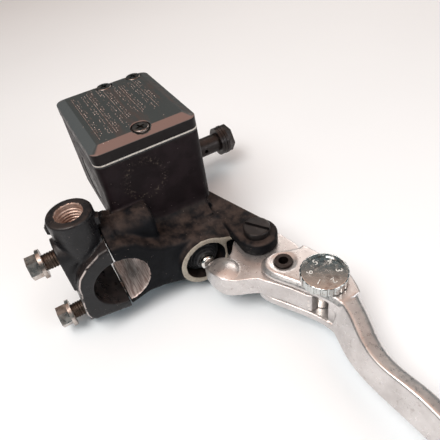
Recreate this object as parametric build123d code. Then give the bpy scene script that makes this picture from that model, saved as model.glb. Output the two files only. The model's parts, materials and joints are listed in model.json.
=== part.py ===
from build123d import *
import math
import os

# A right-hand front brake master cylinder with its clamp and two-piece lever.
# Frame: origin on the handlebar's axis, mid clamp.  +X outboard along the bar,
# +Y away from the rider, +Z up.  All sizes in millimetres.

# ---- clamp on the handlebar ----
BAR_R = 11.1              # 22.2 mm (7/8 in) bar
CLAMP_HALF = 12.0         # half the clamp's width along the bar
SPLIT = 0.2               # half the gap between body and holder
BOLT_Z = 15.0             # clamp bolts above and below the bar
M6_R = 3.0
SEAT_Y = -17.3            # the bolts' seats on the holder's back
BOLT_GAP = 5.0            # the bolts are backed out by this much
MIRROR_Y = -7.2
MIRROR_TOP = 31.5
MIRROR_R = 8.5
M10_R = 5.0

# ---- hydraulic cylinder ----
CYL_Y, CYL_Z = 34.0, -7.5
BARREL_R = 12.0
MOUTH_X = 15.0            # machined face round the boot
MOUTH_R = 11.5
BORE_R = 7.0              # 14 mm piston
BORE_END = -52.0
RECESS_R = 8.9
RECESS_X = 5.0
BARREL_END = -68.0
OUTLET_X = -60.0
OUTLET_Y = 56.0
BANJO_HEAD_Y = 83.6
PISTON_R = 6.95
ROD_R = 3.2
ROD_END = 17.1

# ---- reservoir ----
RES_X0, RES_X1 = -54.7, -3.2
RES_Y0, RES_Y1 = 7.4, 49.0
RES_Z0, RES_Z1 = 4.5, 40.4
WALL = 3.0
CORNER_R = 3.5
RIM = 0.7                 # thickness of the diaphragm's and the plate's rims
CAP_SIDE = 4.6            # height of the cap's upright side band
CAP_SLOPE = (4.0, 1.8)    # width and height of the cap's sloping border
CAP_SCREWS = [(-7.9, 28.2), (-49.9, 28.2), (-49.9, 41.6)]
M4_R = 2.0
GLASS = (-29.0, 22.0)     # X and Z of the sight glass in the rear wall

# ---- lever ----
PIVOT = (22.3, 54.7)
PIVOT_R = 4.0
EAR_R = 8.2
EAR_TOP = (-2.5, 3.0)
EAR_LOW = (-17.9, -12.3)
LEVER_Z = -7.4            # mid plane of the lever
BRACKET_T = 9.0
FORK_Z = (-16.0, 0.5)     # outer faces of the fork's two cheeks
SLOT_Z = (-12.2, -2.6)    # the slot between them
PIN = (39.5, 55.2)
PIN_R = 3.4
DIAL = (54.8, 62.0)
DIAL_R = 8.7
DIAL_Z = (1.2, 5.0)
CAM_R = 4.2               # cam radius that meets the arm at rest
CAM_RISE = 0.319          # cam radius gained per radian of dial
CAM_GAP = 0.15
RUN = 0.05                # radial clearance of a running fit
SCREWED = 0.02            # radial clearance left between a screw and its hole


def rod_x(radius, x0, x1, y=CYL_Y, z=CYL_Z):
    """Cylinder along X."""
    return Pos((x0 + x1) / 2, y, z) * Rot(0, 90, 0) * Cylinder(radius, abs(x1 - x0))


def rod_y(radius, y0, y1, x, z):
    """Cylinder along Y."""
    return Pos(x, (y0 + y1) / 2, z) * Rot(90, 0, 0) * Cylinder(radius, abs(y1 - y0))


def rod_z(radius, z0, z1, x, y):
    """Cylinder along Z."""
    return Pos(x, y, (z0 + z1) / 2) * Cylinder(radius, abs(z1 - z0))


def block(x, y, z):
    """Box between the (low, high) pairs x, y and z."""
    size = Box(x[1] - x[0], y[1] - y[0], z[1] - z[0])
    return Pos(sum(x) / 2, sum(y) / 2, sum(z) / 2) * size


def plate_z(outline, z0, z1):
    """Closed XY outline raised from z0 to z1."""
    return extrude(Pos(0, 0, z0) * make_face(outline), z1 - z0)


def plate_x(points, x0, x1):
    """Closed polygon of (y, z) points drawn out along X."""
    face = make_face(Polyline(*points, close=True))
    return extrude(Plane.YZ.offset(x0) * face, x1 - x0)


def rounded_slab(x, y, z, radius):
    """Slab with rounded upright corners between the (low, high) pairs."""
    face = RectangleRounded(x[1] - x[0], y[1] - y[0], radius)
    return extrude(Pos(sum(x) / 2, sum(y) / 2, z[0]) * face, z[1] - z[0])


def hexagon_y(flats, y0, y1, x, z):
    """Hexagonal prism along +Y."""
    face = RegularPolygon(flats / 2, 6, major_radius=False)
    return Pos(x, y0, z) * Rot(-90, 0, 0) * extrude(face, y1 - y0)


def hexagon_z(flats, z0, z1, x, y):
    """Hexagonal prism along +Z."""
    face = RegularPolygon(flats / 2, 6, major_radius=False)
    return Pos(x, y, z0) * extrude(face, z1 - z0)


# ---------------------------------------------------------------- casting

def clamp_half():
    """Outboard web of the casting, which also holds the front half of the clamp."""
    upper = [(SPLIT, 17.8), (5.0, 17.6), (10.0, 15.2), (14.5, 10.6), (19.5, 7.6), (27.0, 5.4), (36.0, 4.6)]
    lower = [(36.0, -19.0), (27.0, -18.0), (21.3, -15.6), (14.8, -13.4), (8.4, -12.6), (SPLIT, -14.6)]
    web = plate_x(upper + lower, -CLAMP_HALF, CLAMP_HALF)
    outer = web.faces().sort_by(Axis.X)[-1].edges()
    keep = [e for e in outer if (e @ 0.5).Y > SPLIT + 0.1 and (e @ 0.5).Y < 35.5]
    web = fillet(keep, 1.8)
    bosses = rod_y(6.5, SPLIT, 20.5, 0, BOLT_Z)
    bosses += block((-6.5, 6.5), (SPLIT, 20.5), (4.0, BOLT_Z))
    bosses = fillet([e for e in bosses.edges() if e.center().Y > 20.4 and e.center().Z > 4.1], 2.4)
    bosses += rod_y(5.3, SPLIT, 13.0, 0, -BOLT_Z)
    bosses += rod_y(7.4, SPLIT, 4.4, 0, BOLT_Z)
    return web + bosses


def barrel():
    """Cylinder barrel with its machined mouth, closed end and outlet boss."""
    tube = rod_x(BARREL_R, BARREL_END, MOUTH_X - 2.2)
    tube = fillet(tube.edges(), 1.2)
    mouth = rod_x(MOUTH_R, MOUTH_X - 4, MOUTH_X)
    outlet = rod_y(9.0, CYL_Y, OUTLET_Y, OUTLET_X, CYL_Z)
    outlet = chamfer(outlet.edges().sort_by(Axis.Y)[-1], 0.8)
    return tube + mouth + outlet


def pivot_ears():
    """Two ears that hold the lever's pivot bolt, and their root."""
    px, py = PIVOT
    rear = py - EAR_R + 0.1
    front = (px - 5.0, py + 6.5)
    outline = Polyline((-22, 42), (-22, 49.4), (-8, 53.4), front, (px, py), (px, rear), (-8, rear), (-8, 42), close=True)
    ears = plate_z(outline, EAR_LOW[0], EAR_TOP[1])
    ears += rod_z(EAR_R, EAR_LOW[0], EAR_TOP[1], px, py)
    edge = ears.faces().sort_by(Axis.Z)[-1].edges()
    ears = fillet([e for e in edge if (e @ 0.5).X > -5], 0.8)
    slot = block((9.5, px + 20), (44.3, 80), (EAR_LOW[1], EAR_TOP[0]))
    slot += block((MOUTH_X, px + 20), (20, 80), (EAR_LOW[1], EAR_TOP[0]))
    return ears - slot


def ear_fairing():
    """Blends the barrel's top into the top ear, and ends flush with the machined mouth."""
    below = [(46.8, -12.0), (36.0, -12.0)]
    high = [(33.0, 4.7), (36.8, 4.5), (41.0, 3.7), (44.0, 3.1), (46.8, 2.9)]
    mid = [(33.0, 4.5), (36.8, 4.0), (41.0, 2.3), (44.0, 0.9), (46.8, 0.1)]
    low = [(33.0, 3.9), (36.5, 3.5), (39.8, 2.1), (42.6, 0.2), (46.8, -1.9)]
    faces = []
    for x, top in ((-1.0, high), (6.0, high), (13.0, mid), (MOUTH_X, low)):
        faces.append(Plane.YZ.offset(x) * make_face(Polyline(*top, *below, close=True)))
    return loft(faces, ruled=True)


def shoulder():
    """Hollow shoulder where the reservoir's outboard wall runs down into the web."""
    profile = [(-4.6, 11.5), (-3.2, 11.0), (-2.7, 8.6), (-1.4, 6.6), (0.6, 5.3), (3.2, 4.7), (3.2, 1.0), (-6.0, 1.0)]
    sections = []
    for y, lift in ((10.5, 5.0), (26.0, 0.6), (45.5, 0.0)):
        outline = Polyline(*[(x, z + lift) for x, z in profile], close=True)
        sections.append(Plane((0, y, 0), x_dir=(1, 0, 0), z_dir=(0, -1, 0)) * make_face(outline))
    return loft(sections, ruled=True)


def reservoir_shell():
    """Square reservoir with its floor, screw bosses and neck down to the barrel."""
    box = rounded_slab((RES_X0, RES_X1), (RES_Y0, RES_Y1), (RES_Z0, RES_Z1), CORNER_R)
    box = chamfer(box.faces().sort_by(Axis.Z)[0].edges(), 3.0)
    neck = block((-50, -6), (24, 44), (CYL_Z, RES_Z0 + 1))
    gusset = plate_x([(20.0, 3.0), (24.0, CYL_Z - 8), (44.0, CYL_Z - 8), (48.0, 3.0), (47.0, 6.0), (21.0, 6.0)],
                     -56, -2)
    return box + neck + gusset


def reservoir_cavity():
    """Fluid space, with the screw bosses left standing."""
    x = (RES_X0 + WALL, RES_X1 - WALL)
    y = (RES_Y0 + WALL, RES_Y1 - WALL)
    space = rounded_slab(x, y, (RES_Z0 + WALL + 0.5, RES_Z1 + 1), 2.0)
    for sx, sy in CAP_SCREWS:
        space -= rod_z(4.0, 20.0, RES_Z1 + 2, sx, sy)
    return space


def master_body():
    body = clamp_half() + barrel() + pivot_ears() + ear_fairing() + reservoir_shell() + shoulder()
    body -= reservoir_cavity()
    body -= rod_x(BAR_R, -CLAMP_HALF - 1, CLAMP_HALF + 1, 0, 0)
    body -= rod_x(BORE_R, BORE_END, MOUTH_X)
    body -= rod_x(RECESS_R, RECESS_X, MOUTH_X + 1)
    body -= rod_x(RECESS_R + 0.8, RECESS_X + 1.0, RECESS_X + 2.1)
    body -= rod_x(2.0, OUTLET_X, BORE_END + 1)
    body -= rod_y(M10_R, CYL_Y, OUTLET_Y + 1, OUTLET_X, CYL_Z)
    for z, depth in ((BOLT_Z, 19.0), (-BOLT_Z, 12.0)):
        body -= rod_y(M6_R, 0, depth, 0, z)
    body -= rod_z(0.4, CYL_Z, RES_Z0 + 6, -30.4, CYL_Y)
    body -= rod_z(2.0, CYL_Z, RES_Z0 + 6, -12.0, CYL_Y)
    for sx, sy in CAP_SCREWS:
        body -= rod_z(M4_R, 26.0, RES_Z1 + 1, sx, sy)
    body -= rod_z(PIVOT_R, -40, 20, *PIVOT)
    gx, gz = GLASS
    body -= rod_y(9.0, RES_Y0 - 1, RES_Y0 + 2.0, gx, gz)
    body -= rod_y(7.0, RES_Y0, RES_Y0 + WALL + 1, gx, gz)
    # the hub's pocket between the ears, and a flat that clears the swing of the lever's nose
    body -= block((9.5, PIVOT[0] + 20), (44.0, 80), (EAR_LOW[1], EAR_TOP[0]))
    body -= block((MOUTH_X, 60), (-5, 46.0), (-30, EAR_TOP[0]))
    return body


def handlebar_holder():
    """Rear half of the clamp, with the mirror boss and the two bolt seats."""
    back = [(-SPLIT, 18.4), (-4.5, 17.6), (-10.0, 14.4), (-14.0, 10.5), (-15.6, 6.8), (-15.9, 3.0),
            (-16.9, -2.7), (-17.3, -8.4), (-16.6, -11.2), (-15.0, -12.8), (-9.4, -13.9), (-SPLIT, -15.6)]
    collar = plate_x(back, -CLAMP_HALF, CLAMP_HALF)
    outer = collar.faces().sort_by(Axis.X)[-1].edges()
    collar = fillet([e for e in outer if (e @ 0.5).Y < -SPLIT - 0.1], 1.4)
    seats = rod_y(7.4, SEAT_Y, -SPLIT, 0, BOLT_Z)
    seats += block((-7.4, 7.4), (SEAT_Y, -SPLIT), (2, BOLT_Z))
    seats += rod_y(6.6, SEAT_Y, -SPLIT, 0, -BOLT_Z)
    boss = rod_z(MIRROR_R, 8.0, MIRROR_TOP, 0, MIRROR_Y)
    boss = chamfer(boss.edges().sort_by(Axis.Z)[-1], 0.6)
    lug = Pos(0, MIRROR_Y, 26.4) * Rot(0, 0, -20) * Box(3.6, 2 * MIRROR_R + 2.6, 3.6)
    overhang = block((-20, 20), (-SPLIT, 20), (-40, BOLT_Z + 8.0))
    holder = collar + seats + (boss - overhang) + lug
    holder -= rod_x(BAR_R, -CLAMP_HALF - 1, CLAMP_HALF + 1, 0, 0)
    for z in (BOLT_Z, -BOLT_Z):
        holder -= rod_y(M6_R + 0.3, -40, 5, 0, z)
    holder -= rod_z(M10_R, MIRROR_TOP - 12.5, MIRROR_TOP + 1, 0, MIRROR_Y)
    return holder


def clamp_bolts():
    """Two M6 flange bolts, partly backed out."""
    flange_y = SEAT_Y - BOLT_GAP
    bolts = []
    for z in (BOLT_Z, -BOLT_Z):
        bolt = rod_y(M6_R - SCREWED, flange_y, flange_y + 28.0, 0, z)
        bolt += rod_y(5.7, flange_y - 1.4, flange_y, 0, z)
        head = hexagon_y(8.0, flange_y - 5.6, flange_y - 1.2, 0, z)
        bolts.append(bolt + head)
    return Compound(children=bolts)


# ---------------------------------------------------------------- reservoir top

def ring_rim(z0, z1, inset):
    """Flat rim over the reservoir's wall, with the screw holes."""
    x, y = (RES_X0, RES_X1), (RES_Y0, RES_Y1)
    rim = rounded_slab(x, y, (z0, z1), CORNER_R)
    inner = rounded_slab((x[0] + inset, x[1] - inset), (y[0] + inset, y[1] - inset), (z0 - 1, z1 + 1), 2.0)
    for sx, sy in CAP_SCREWS:
        inner -= rod_z(4.0, z0 - 2, z1 + 2, sx, sy)
    rim -= inner
    for sx, sy in CAP_SCREWS:
        rim -= rod_z(M4_R + 0.1, z0 - 1, z1 + 1, sx, sy)
    return rim


def diaphragm():
    """Rubber bellows that hangs into the fluid space and seals under the cap."""
    rim = ring_rim(RES_Z1, RES_Z1 + RIM, 5.0)
    x = (RES_X0 + 10.5, RES_X1 - 10.5)
    y = (RES_Y0 + 5.0, RES_Y1 - 5.0)
    cup = rounded_slab(x, y, (RES_Z1 - 12, RES_Z1 + RIM), 3.0)
    cup -= rounded_slab((x[0] + 1, x[1] - 1), (y[0] + 1, y[1] - 1), (RES_Z1 - 11, RES_Z1 + 5), 2.5)
    web = rounded_slab((RES_X0 + 4, RES_X1 - 4), (RES_Y0 + 4, RES_Y1 - 4), (RES_Z1, RES_Z1 + RIM), 3.0)
    web -= rounded_slab((x[0] + 0.5, x[1] - 0.5), (y[0] + 0.5, y[1] - 0.5), (RES_Z1 - 1, RES_Z1 + 2), 2.5)
    for sx, sy in CAP_SCREWS:
        web -= rod_z(M4_R + 0.1, RES_Z1 - 1, RES_Z1 + 2, sx, sy)
    return rim + cup + web


def diaphragm_plate():
    """Pale plate that spreads the cap's load on the diaphragm's rim."""
    z0 = RES_Z1 + RIM
    return ring_rim(z0, z0 + RIM, 9.0)


def reservoir_cap():
    """Square cap with an upright side, a sloping border and sunk screw seats."""
    x, y = (RES_X0, RES_X1 + 0.4), (RES_Y0 - 0.2, RES_Y1 - 0.2)
    z0 = RES_Z1 + 2 * RIM
    z1 = z0 + CAP_SIDE
    dx, dz = CAP_SLOPE
    cap = rounded_slab(x, y, (z0, z1), CORNER_R)
    base = Pos(sum(x) / 2, sum(y) / 2, z1) * RectangleRounded(x[1] - x[0], y[1] - y[0], CORNER_R)
    crown = Pos(sum(x) / 2, sum(y) / 2, z1 + dz)
    crown *= RectangleRounded(x[1] - x[0] - 2 * dx, y[1] - y[0] - 2 * dx, 1.2)
    cap += loft([base, crown], ruled=True)
    top = z1 + dz
    cap -= rounded_slab((x[0] + 4, x[1] - 4), (y[0] + 4, y[1] - 4), (z0 - 1, z0 + 3.2), 2.0)
    for sx, sy in CAP_SCREWS:
        cap += rod_z(4.0, z0, top - 1.5, sx, sy)
        cap -= rod_z(3.7, top - 1.5, top + 1, sx, sy)
        cap -= rod_z(M4_R + 0.1, z0 - 1, top, sx, sy)
    return cap


def cap_screws():
    """Crosshead screws of the cap."""
    top = RES_Z1 + 2 * RIM + CAP_SIDE + CAP_SLOPE[1]
    screws = []
    for sx, sy in CAP_SCREWS:
        screw = rod_z(M4_R - SCREWED, top - 18.0, top - 1.5, sx, sy)
        head = rod_z(3.3, top - 1.5, top - 0.1, sx, sy)
        head = fillet(head.edges().sort_by(Axis.Z)[-1], 0.6)
        for turn in (20, 110):
            head -= Pos(sx, sy, top - 0.5) * Rot(0, 0, turn) * Box(3.6, 0.8, 1.4)
        screws.append(screw + head)
    return Compound(children=screws)


def sight_glass():
    gx, gz = GLASS
    return rod_y(8.95, RES_Y0 + 0.3, RES_Y0 + 1.5, gx, gz)


def sight_glass_seal():
    gx, gz = GLASS
    return rod_y(8.95, RES_Y0 + 1.5, RES_Y0 + 2.0, gx, gz) - rod_y(7.0, RES_Y0, RES_Y0 + 4, gx, gz)


def port_guard():
    """Small bent plate over the two ports in the reservoir's floor."""
    floor = RES_Z0 + WALL + 0.5
    guard = block((-36, -6.5), (28, 40), (floor, floor + 3.0))
    guard -= block((-35.4, -7.1), (26, 42), (floor - 1, floor + 2.4))
    return guard


# ---------------------------------------------------------------- cylinder internals

def ring_x(outer, inner, x0, x1):
    return rod_x(outer, x0, x1) - rod_x(inner, x0 - 1, x1 + 1)


def piston():
    """Two lands with a fluid waist between them and a spigot for the primary cup."""
    body = rod_x(PISTON_R, -25.0, -21.0) + rod_x(4.6, -21.0, -3.0) + rod_x(PISTON_R, -3.0, 4.9)
    body += rod_x(3.5, -29.0, -25.0)
    body -= ring_x(PISTON_R + 1, 5.2, -1.4, 1.6)
    body -= rod_x(2.4, -1.0, 5.0)
    return body


def push_pin():
    """Hardened pin that the lever's nose pushes."""
    pin = rod_x(ROD_R, 4.9, ROD_END) + rod_x(2.4, -1.0, 4.9)
    return fillet(pin.edges().sort_by(Axis.X)[-1], 1.4)


def primary_cup():
    cup = ring_x(BORE_R - 0.02, 3.5, -29.0, -25.0)
    return cup - ring_x(6.2, 4.3, -29.5, -26.6)


def secondary_cup():
    return ring_x(BORE_R - 0.02, 5.2, -1.4, 1.6)


def spring_seat():
    return ring_x(6.2, 2.6, -30.0, -29.0)


def return_spring():
    """Coil spring between the seat and the closed end of the bore."""
    wire, radius, turns = 0.6, 4.9, 8
    x0, x1 = BORE_END + wire, -30.0 - wire
    path = Helix((x1 - x0) / turns, x1 - x0, radius)
    profile = Plane(origin=path @ 0, z_dir=path % 0) * Circle(wire)
    coil = sweep(profile, path=path, is_frenet=True)
    return Pos(x0, CYL_Y, CYL_Z) * Rot(0, 90, 0) * coil


def stop_washer():
    return ring_x(RECESS_R - 0.1, ROD_R + 0.3, RECESS_X, RECESS_X + 1.0)


def circlip():
    """Internal retaining ring with its gap and two eyes."""
    ring = ring_x(RECESS_R + 0.8, RECESS_R - 1.4, RECESS_X + 1.0, RECESS_X + 2.1)
    gap = block((RECESS_X, RECESS_X + 3), (CYL_Y - 2.0, CYL_Y + 2.0), (CYL_Z - 12, CYL_Z - 4))
    ring -= gap
    for side in (-1, 1):
        eye = rod_x(1.4, RECESS_X + 1.0, RECESS_X + 2.1, CYL_Y + side * 3.2, CYL_Z - 7.0)
        ring += eye - rod_x(0.6, RECESS_X, RECESS_X + 3, CYL_Y + side * 3.2, CYL_Z - 7.0)
    return ring


def dust_boot():
    """Rubber boot: a flange in the recess, one fold, and a lip on the push pin."""
    x0 = RECESS_X + 2.2
    profile = [(x0, 5.0), (x0, 8.7), (x0 + 1.2, 8.7), (x0 + 1.2, 6.3), (x0 + 6.0, 6.3), (x0 + 6.9, 5.7),
               (x0 + 6.9, 4.9), (x0 + 5.2, 4.2), (x0 + 5.2, ROD_R + RUN), (x0 + 4.2, ROD_R + RUN),
               (x0 + 4.2, 4.6), (x0 + 5.7, 5.3), (x0 + 5.0, 5.4), (x0 + 1.0, 5.0)]
    face = make_face(Polyline(*[(x, r) for x, r in profile], close=True))
    return Pos(0, CYL_Y, CYL_Z) * revolve(face, Axis.X)


def banjo_bolt():
    """Long hollow bolt in the outlet, waiting for the hoses' banjo ends."""
    head_y = BANJO_HEAD_Y
    bolt = rod_y(M10_R - SCREWED, 48.0, head_y, OUTLET_X, CYL_Z)
    bolt += rod_y(7.8, head_y, head_y + 1.4, OUTLET_X, CYL_Z)
    bolt += hexagon_y(13.0, head_y + 1.4, head_y + 4.6, OUTLET_X, CYL_Z)
    bolt -= rod_y(1.6, 47.0, head_y - 4, OUTLET_X, CYL_Z)
    for y in (60.0, 71.5):
        bolt -= rod_x(1.1, OUTLET_X - 8, OUTLET_X + 8, y, CYL_Z)
    return bolt


def crush_washers():
    """Two sealing washers, loose under the bolt's head."""
    thick, pitch = 1.4, 1.6
    washers = []
    for i in (1, 2):
        y = BANJO_HEAD_Y - i * pitch
        hole = rod_y(M10_R + RUN, y - 1, y + 3, OUTLET_X, CYL_Z)
        washers.append(rod_y(7.6, y, y + thick, OUTLET_X, CYL_Z) - hole)
    return Compound(children=washers)


# ---------------------------------------------------------------- lever

def pivot_bolt():
    """Shouldered pivot screw with a slotted head, standing on the top ear."""
    top = EAR_TOP[1]
    bolt = rod_z(5.4, top, top + 3.0, *PIVOT)
    bolt = fillet(bolt.edges().sort_by(Axis.Z)[-1], 0.6)
    bolt += rod_z(PIVOT_R, EAR_LOW[0], top, *PIVOT) + rod_z(M6_R, EAR_LOW[0] - 6.5, EAR_LOW[0], *PIVOT)
    slot = Pos(PIVOT[0], PIVOT[1], top + 3.0) * Rot(0, 0, 33) * Box(12, 1.5, 2.6)
    return bolt - slot


def pivot_nut():
    nut = rod_z(6.4, EAR_LOW[0] - 1.2, EAR_LOW[0], *PIVOT)
    nut += hexagon_z(10.0, EAR_LOW[0] - 5.4, EAR_LOW[0] - 1.2, *PIVOT)
    return nut - rod_z(M6_R, -40, 0, *PIVOT)


def mid_slab(outline, thickness):
    """Outline raised evenly about the lever's mid plane."""
    return plate_z(outline, LEVER_Z - thickness / 2, LEVER_Z + thickness / 2)


def cheek_outline(rear):
    """Plan of one cheek of the fork: its nose and rear edge, then the shared front edge."""
    front = Spline((66.5, 68.4), (61.5, 70.2), (54.8, 71.2), (45.5, 69.0), (39.8, 67.4), (36.9, 66.3))
    ends = Polyline((36.9, 66.3), rear[0]) + Polyline(rear[-1], (66.5, 68.4))
    return Spline(*rear) + front + ends


def inset(points, distance):
    """The same points moved sideways, to the left of the way they run."""
    moved = []
    for i, (x, y) in enumerate(points):
        ax, ay = points[max(i - 1, 0)]
        bx, by = points[min(i + 1, len(points) - 1)]
        length = math.hypot(bx - ax, by - ay)
        moved.append((x - distance * (by - ay) / length, y + distance * (bx - ax) / length))
    return moved


def cheek(rear, slot_z, outer_z, bevel):
    """Cheek from the slot to its outer face, whose rear edge is bevelled."""
    bevel_z = outer_z - math.copysign(bevel, outer_z - slot_z)
    slab = plate_z(cheek_outline(rear), min(slot_z, bevel_z), max(slot_z, bevel_z))
    sections = [(bevel_z, cheek_outline(rear)), (outer_z, cheek_outline(inset(rear, bevel)))]
    faces = [Pos(0, 0, z) * make_face(outline) for z, outline in sorted(sections, key=lambda s: s[0])]
    return slab + loft(faces, ruled=True)


def lower_cheek():
    rear = [(36.2, 64.6), (33.4, 59.0), (31.7, 53.0), (32.4, 47.9), (36.2, 45.2), (41.0, 45.8), (45.9, 48.3),
            (53.0, 52.4), (60.3, 56.0), (66.5, 57.4)]
    return cheek(rear, SLOT_Z[0], FORK_Z[0], 0.7)


def upper_cheek():
    """Upper cheek, which also makes the slot's front and end walls."""
    rear = [(36.2, 64.6), (34.0, 59.0), (32.5, 53.5), (33.6, 49.3), (37.4, 47.0), (41.4, 47.5), (48.8, 51.4),
            (55.8, 55.0), (61.3, 57.5), (66.5, 58.8)]
    return cheek(rear, SLOT_Z[0], FORK_Z[1], 1.6)


def bracket_outline():
    """Plan of the inner lever: nose, hub and the arm that enters the fork."""
    nose = Spline((22.0, 40.0), (18.6, 37.2), (17.3, 34.4), (18.6, 31.6), (21.6, 30.7))
    rear = Spline((21.6, 30.7), (26.5, 31.0), (31.6, 33.0), (35.2, 38.0), (38.6, 44.2))
    arm = Polyline((38.6, 44.2), (41.2, 45.7), (45.6, 48.7), (49.1, 50.9), (52.7, 52.8), (55.4, 54.0), (56.6, 55.2),
                   (56.6, CAM_FACE_Y), (50.0, CAM_FACE_Y), (47.0, 60.6), (43.5, 62.8), (36.0, 65.4))
    front = Spline((36.0, 65.4), (33.2, 66.2), (28.3, 65.4), (22.5, 64.0), (16.8, 60.0), (14.6, 54.2), (14.9, 49.4),
                   (16.8, 46.2), (20.3, 43.4), (22.0, 40.0))
    return nose + rear + arm + front


CAM_FACE_Y = DIAL[1] - CAM_R
REACH_SPRING_X = 44.0
NOSE = (27.5, 36.0)            # centre of the nose's dome
NOSE_DOME = (10.3, 10.3, 7.0)  # its half axes


def lever_bracket():
    """Inner lever: its hub turns between the ears and its arm lies in the fork's slot."""
    outline = bracket_outline()
    bracket = mid_slab(outline, BRACKET_T)
    bump = Pos(NOSE[0], NOSE[1], LEVER_Z + BRACKET_T / 2 - 12.7) * Sphere(14.0)
    bracket += bump & mid_slab(outline, 20) & block((10, 34), (28, 44), (-8, 0))
    tip = block((10, NOSE[0]), (25, 41), (-20, 0))
    bracket = bracket - tip + (bracket & tip & Pos(NOSE[0], NOSE[1], -8.5) * scale(Sphere(1.0), by=NOSE_DOME))
    bracket -= rod_z(5.2, -30, 10, *PIVOT)
    bracket -= rod_z(PIN_R + RUN, -30, 10, *PIN)
    bracket -= rod_y(2.5, 60.2, 70, REACH_SPRING_X, LEVER_Z)
    return bracket


def pivot_bush():
    z = (LEVER_Z - BRACKET_T / 2, LEVER_Z + BRACKET_T / 2)
    return rod_z(5.2, z[0], z[1], *PIVOT) - rod_z(PIVOT_R + RUN, -30, 10, *PIVOT)


# blade sections beyond the fork: x, then y of the rear, the crest and the front, and half the height
BLADE_SECTIONS = [(66, 56.0, 60.2, 69.6, 7.9), (73, 54.0, 58.6, 67.0, 7.6), (80, 52.3, 56.0, 64.2, 7.3),
                  (88, 51.8, 54.6, 62.0, 7.0), (98, 52.5, 56.0, 62.8, 6.8), (110, 53.6, 57.1, 63.9, 6.5),
                  (122, 54.9, 58.4, 65.0, 6.3), (134, 56.2, 59.6, 66.1, 6.1), (146, 57.4, 60.7, 67.1, 6.0),
                  (158, 58.4, 61.6, 67.8, 5.8), (170, 59.3, 62.3, 68.3, 5.6)]
BALL = (174.0, 63.9, 8.4)


def blade_section(x, rear, crest, front, half_height):
    """Section with a crisp crest at the top, behind which the rear face slopes away."""
    low, top = LEVER_Z - half_height, LEVER_Z + half_height
    face = make_face(Polyline((crest, top), (front - 2.2, top - 0.8), (front, top - 5.0), (front - 1.6, low + 1.6),
                              (rear + 3.6, low), (rear, low + 3.6), close=True))
    corners = face.vertices().sort_by(Axis.Y)
    face = fillet(corners[:-1], 2.0)
    crisp = face.vertices().sort_by(Axis.Y)[-1]
    return Plane.YZ.offset(x) * fillet(crisp, 0.8)


def lever_blade():
    """Forked finger blade with a ball end."""
    blade = loft([blade_section(*section) for section in BLADE_SECTIONS])
    ball = Pos(BALL[0], BALL[1], LEVER_Z) * Sphere(BALL[2])
    slot = plate_z(Polyline((20, 40), (62.2, 40), (62.2, 60), (60.8, 67.4), (49.0, 67.4), (47.5, 65.6), (41.0, 65.6),
                            (38.0, 75), (20, 75), close=True), *SLOT_Z)
    lever = lower_cheek() + upper_cheek() + blade + ball
    lever -= slot
    lever -= rod_z(PIN_R, -30, 10, *PIN)
    lever -= rod_z(4.9, FORK_Z[1] - 0.3, 10, *PIN)
    lever -= rod_z(CAM_SHAFT_R + RUN, -30, 10, *DIAL)
    lever -= rod_z(DETENT_R + RUN, DETENT_Z, 5, *DETENT)
    return lever


CAM_SHAFT_R = 2.9
DETENT = (DIAL[0] + 6.2, DIAL[1])
DETENT_R = 1.0
DETENT_Z = -2.1           # bottom of the detent's bore


def lever_pin():
    """Hollow pin that joins the blade to the bracket."""
    low, high = FORK_Z
    pin = rod_z(PIN_R, low - 1.6, high + 0.5, *PIN)
    pin -= rod_z(1.9, -40, 10, *PIN)
    return pin - (rod_z(PIN_R + 1, low - 0.8, low - 0.1, *PIN) - rod_z(2.7, -40, 10, *PIN))


def e_clip(centre, groove_r, outer_r):
    """Snap ring under the fork, open on its front side."""
    low = FORK_Z[0]
    ring = rod_z(outer_r, low - 0.8, low - 0.1, *centre) - rod_z(groove_r, -40, 0, *centre)
    x, y = centre
    return ring - block((x - 0.8 * groove_r, x + 0.8 * groove_r), (y, y + 10), (-30, 0))


def reach_spring():
    """Short coil spring that keeps the arm's face on the cam."""
    x = REACH_SPRING_X
    return rod_y(2.1, 60.7, 65.5, x, LEVER_Z) - rod_y(1.4, 60, 66, x, LEVER_Z)


def adjuster_dial():
    """Notched dial with a sunk face."""
    dial = rod_z(DIAL_R, DIAL_Z[0], DIAL_Z[1], *DIAL)
    dial = fillet(dial.edges().sort_by(Axis.Z)[-1], 0.6)
    dial -= rod_z(6.9, DIAL_Z[1] - 0.4, DIAL_Z[1] + 1, *DIAL)
    notches = 24
    for i in range(notches):
        angle = math.radians(360 / notches * i)
        x = DIAL[0] + (DIAL_R + 0.15) * math.cos(angle)
        y = DIAL[1] + (DIAL_R + 0.15) * math.sin(angle)
        dial -= rod_z(0.55, DIAL_Z[0] - 1, DIAL_Z[1] + 1, x, y)
    return dial - rod_z(CAM_SHAFT_R, 0, DIAL_Z[1] - 1.5, *DIAL)


def adjuster_cam():
    """Spiral cam on a shaft; its radius at the arm grows as the dial turns."""
    points = []
    steps = 16
    span = math.radians(260)
    for i in range(steps + 1):
        turn = span * (i / steps - 0.5)
        radius = CAM_R - CAM_GAP - CAM_RISE * turn
        angle = turn - math.pi / 2
        points.append((DIAL[0] + radius * math.cos(angle), DIAL[1] + radius * math.sin(angle)))
    spiral = Spline(*points)
    disc = mid_slab(spiral + Line(points[-1], points[0]), BRACKET_T - 0.2)
    low = FORK_Z[0]
    shaft = rod_z(CAM_SHAFT_R, low - 1.6, DIAL_Z[1] - 1.5, *DIAL)
    shaft -= rod_z(CAM_SHAFT_R + 1, low - 0.8, low - 0.1, *DIAL) - rod_z(2.2, -40, 10, *DIAL)
    return disc + shaft


def detent_ball():
    return Pos(DETENT[0], DETENT[1], 0.1) * Sphere(DETENT_R)


def detent_spring():
    return rod_z(0.9, DETENT_Z, -0.95, *DETENT) - rod_z(0.5, -4, 0, *DETENT)


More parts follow.
